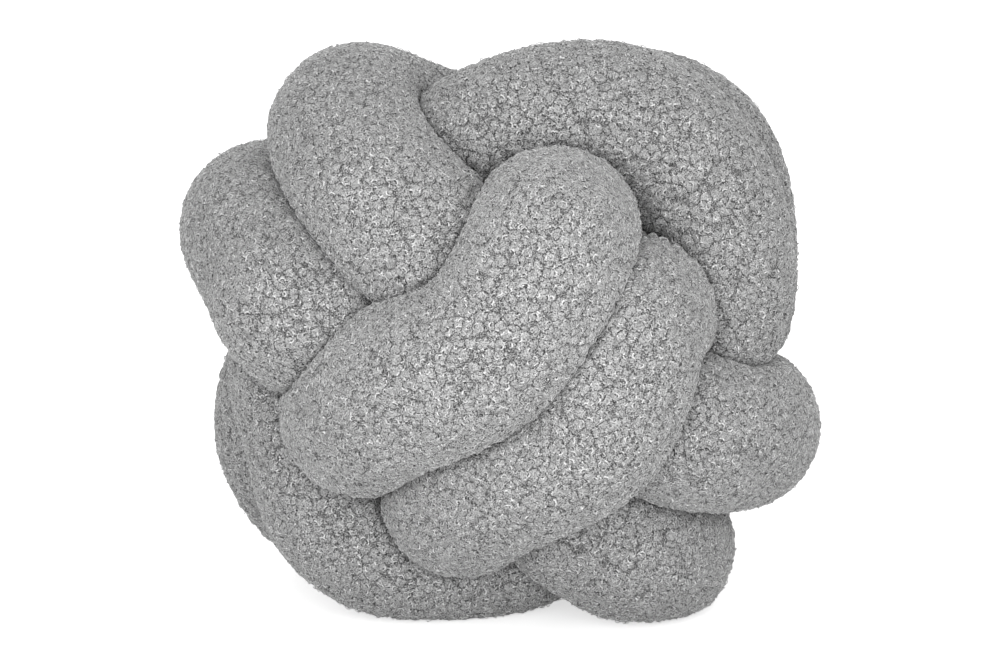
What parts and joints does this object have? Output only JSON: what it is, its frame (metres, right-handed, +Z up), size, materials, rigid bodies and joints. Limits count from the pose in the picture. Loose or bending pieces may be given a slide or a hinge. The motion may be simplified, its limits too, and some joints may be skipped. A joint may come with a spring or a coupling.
{
  "type": "knot cushion",
  "caption": "Round scatter cushion made of a stuffed pile tube tied into a ball-shaped knot, for a sofa, bed or chair.",
  "frame": {"origin": "centre of the cushion's box, on the surface that it stands on", "axes": "+Z up; -Y is the front that the picture shows, with its pair of turns running up to the right; +X is the picture's right"},
  "size_m": [0.2961, 0.2924, 0.2672],
  "materials": {
    "pile_cloth": "light grey teddy cloth with a short curled pile in small clumps, matt, soft bright rim"
  },
  "bodies": {
    "root": {"knot_tube": "pile_cloth"}
  },
  "joints": []
}
